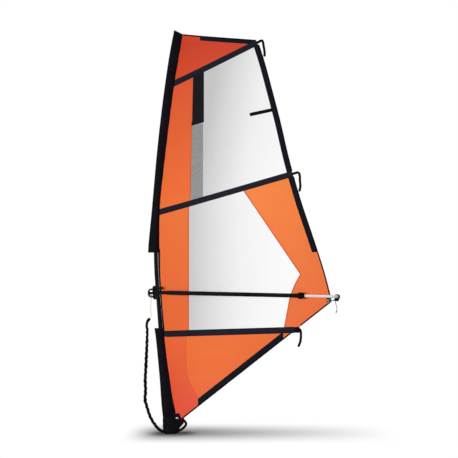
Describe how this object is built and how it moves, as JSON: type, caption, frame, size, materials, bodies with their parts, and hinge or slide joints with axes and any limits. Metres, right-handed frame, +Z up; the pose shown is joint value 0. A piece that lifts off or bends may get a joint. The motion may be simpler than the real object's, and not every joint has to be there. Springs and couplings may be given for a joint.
{
  "type": "windsurf rig",
  "caption": "Small windsurf rig: two-piece mast on a socketed foot, cloth and film sail with long battens, wishbone boom with adjustable tail, and knotted uphaul rope.",
  "frame": {"origin": "centre of the mast foot's lower face, on the mast's axis", "axes": "+Z up, +X aft from the mast towards the clew, +Y to starboard; the mast leans 4.3 degrees forward at its foot"},
  "size_m": [1.6808, 0.4406, 3.4678],
  "materials": {
    "glass_fibre": "satin laminate",
    "orange_cloth": "coated sailcloth with a fine grid",
    "clear_film": "clear film",
    "black_cloth": "matte woven cloth",
    "black_webbing": "matte webbing",
    "black_plastic": "moulded, satin",
    "black_foam": "matte foam grip",
    "black_rubber": "matte",
    "alloy": "bright anodised",
    "stainless_steel": "polished",
    "batten_composite": "pultruded, satin",
    "grey_line": "braided line",
    "pale_line": "braided line"
  },
  "bodies": {
    "rig": {"base_axle": "stainless_steel", "base_block": "black_plastic", "batten_bottom": "batten_composite", "batten_middle": "batten_composite", "batten_pocket_bottom": "black_cloth", "batten_pocket_middle": "black_cloth", "batten_pocket_top": "black_cloth", "batten_strap_bottom": "black_webbing", "batten_strap_middle": "black_webbing", "batten_strap_top": "black_webbing", "batten_tensioner_bottom": "black_plastic", "batten_tensioner_middle": "black_plastic", "batten_tensioner_top": "black_plastic", "batten_top": "batten_composite", "clew_eyelet": "stainless_steel", "clew_panel": "orange_cloth", "clew_patch": "black_webbing", "downhaul_line": "grey_line", "extension_tube": "alloy", "foot_band": "black_webbing", "foot_fairing": "black_cloth", "foot_panel": "orange_cloth", "head_band": "black_webbing", "head_cap": "black_plastic", "head_panel": "orange_cloth", "leech_band_lower": "black_webbing", "leech_band_upper": "black_webbing", "lower_window": "clear_film", "luff_panel_lower": "orange_cloth", "luff_panel_upper": "orange_cloth", "luff_sleeve_lower": "black_cloth", "luff_sleeve_upper": "black_cloth", "mast_lower_section": "glass_fibre", "mast_upper_section": "glass_fibre", "mini_batten": "black_cloth", "outhaul_line": "grey_line", "tack_eyelet": "stainless_steel", "tack_patch": "black_webbing", "tack_pull_loop": "black_webbing", "uphaul_line": "pale_line", "uphaul_rope": "black_webbing", "upper_window": "clear_film"},
    "base_sheave_body": {"base_sheave": "black_plastic"},
    "button": {"release_button": "black_plastic"},
    "boom_head": {"boom_head_body": "black_plastic", "mast_pad": "black_rubber", "clamp_strap": "black_webbing"},
    "lever": {"clamp_lever": "black_plastic"},
    "wishbone": {"boom_arm_port": "alloy", "boom_arm_starboard": "alloy", "boom_grip_port": "black_foam", "boom_grip_starboard": "black_foam", "tail_clamp_port": "black_plastic", "tail_clamp_starboard": "black_plastic"},
    "clip_port": {"tail_clip_port": "black_plastic"},
    "clip_starboard": {"tail_clip_starboard": "black_plastic"},
    "boom_tail": {"tail_tube": "alloy", "tail_end_cap": "black_plastic", "outhaul_tail": "grey_line"},
    "outhaul_sheave_body": {"outhaul_sheave": "black_plastic"}
  },
  "joints": [
    {"name": "base_sheave_spin", "type": "hinge", "parent": "rig", "child": "base_sheave_body", "pos_m": [0.03246, 0, 0.04856], "axis": [0, 1, 0], "continuous": true},
    {"name": "release_button_slide", "type": "slide", "parent": "rig", "child": "button", "axis": [0, 1, 0], "range_m": [0, 0.0035], "stiffness_N_per_m": 600, "springref_m": -0.002},
    {"name": "boom_height", "type": "slide", "parent": "rig", "child": "boom_head", "axis": [-0.0748, 0, 0.9972], "range_m": [-0.2, 0.1], "deforming": ["uphaul_line", "uphaul_rope"]},
    {"name": "boom_tilt", "type": "hinge", "parent": "boom_head", "child": "wishbone", "pos_m": [-0.09075, 0, 1.21], "axis": [0, 1, 0], "range_deg": [-8, 4]},
    {"name": "clamp_lever_hinge", "type": "hinge", "parent": "boom_head", "child": "lever", "pos_m": [-0.11723, -0.0415, 1.24211], "axis": [0.0748, 0, -0.9972], "range_deg": [0, 110], "deforming": ["clamp_strap"]},
    {"name": "tail_clip_port_hinge", "type": "hinge", "parent": "wishbone", "child": "clip_port", "pos_m": [1.09394, -0.0785, 1.18312], "axis": [-0.0227, 0, -0.9997], "range_deg": [0, 75]},
    {"name": "tail_clip_starboard_hinge", "type": "hinge", "parent": "wishbone", "child": "clip_starboard", "pos_m": [1.09394, 0.0785, 1.18312], "axis": [0.0227, 0, 0.9997], "range_deg": [0, 75]},
    {"name": "tail_slide", "type": "slide", "parent": "wishbone", "child": "boom_tail", "axis": [0.9997, 0, -0.0227], "range_m": [0, 0.15], "deforming": ["outhaul_line"]},
    {"name": "outhaul_sheave_spin", "type": "hinge", "parent": "boom_tail", "child": "outhaul_sheave_body", "pos_m": [1.43824, 0, 1.1483], "axis": [0, 1, 0], "continuous": true}
  ],
  "couplings": [
    {"joint": "boom_tilt", "follows": "boom_height", "rad_per_m": 0.665}
  ]
}
